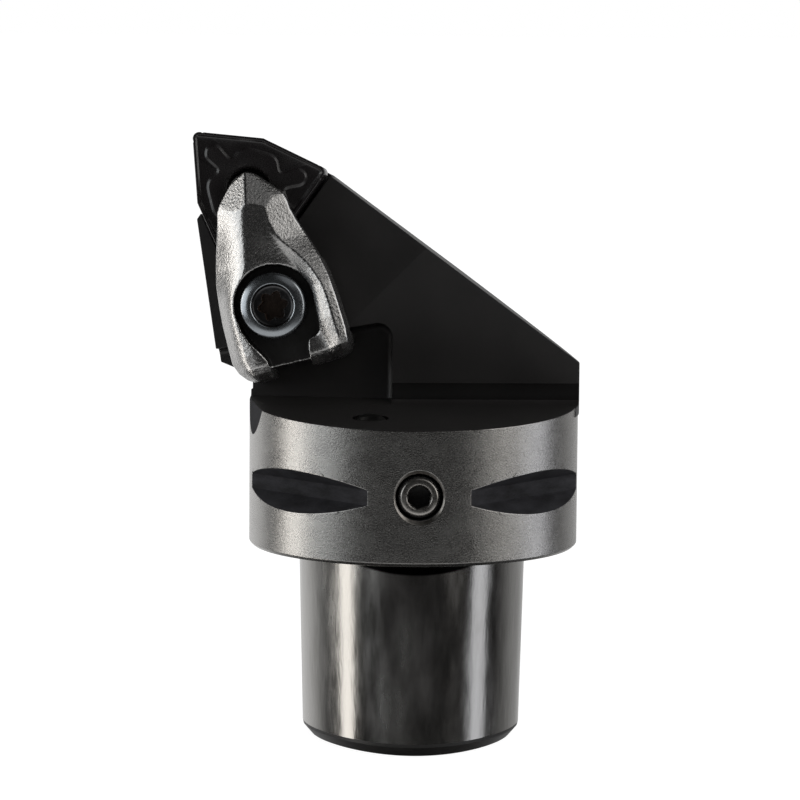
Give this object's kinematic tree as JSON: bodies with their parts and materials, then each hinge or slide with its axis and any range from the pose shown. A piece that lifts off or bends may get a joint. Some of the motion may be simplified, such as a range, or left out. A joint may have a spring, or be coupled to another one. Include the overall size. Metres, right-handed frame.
{
  "type": "turning tool holder",
  "caption": "External turning holder with a polygonal hollow taper shank, gripper flange, offset head, trigon insert on a shim and a screwed top clamp.",
  "frame": {"origin": "middle of the tool's footprint, on the plane of the shank's end face", "axes": "+Z along the tool axis from the shank's end to the cutting tip, -Y the side of the insert's rake face and the clamp, -X the side of the cutting tip"},
  "size_m": [0.0471, 0.0401, 0.074],
  "materials": {
    "body_steel": "black oxide on the head, ground flange and polished shank",
    "insert_coating": "black coated cemented carbide",
    "shim_carbide": "ground cemented carbide",
    "clamp_steel": "tumbled hardened steel",
    "screw_steel": "polished steel",
    "dark_screw": "blackened steel",
    "spring_steel": "bright spring wire",
    "nozzle_steel": "blackened steel"
  },
  "bodies": {
    "root": {"holder_body": "body_steel", "insert": "insert_coating", "shim": "shim_carbide", "shim_screw": "dark_screw", "clamp": "clamp_steel", "clamp_screw": "screw_steel", "clamp_spring": "spring_steel", "coolant_plug_screw": "dark_screw", "coolant_nozzle": "nozzle_steel"}
  },
  "joints": []
}
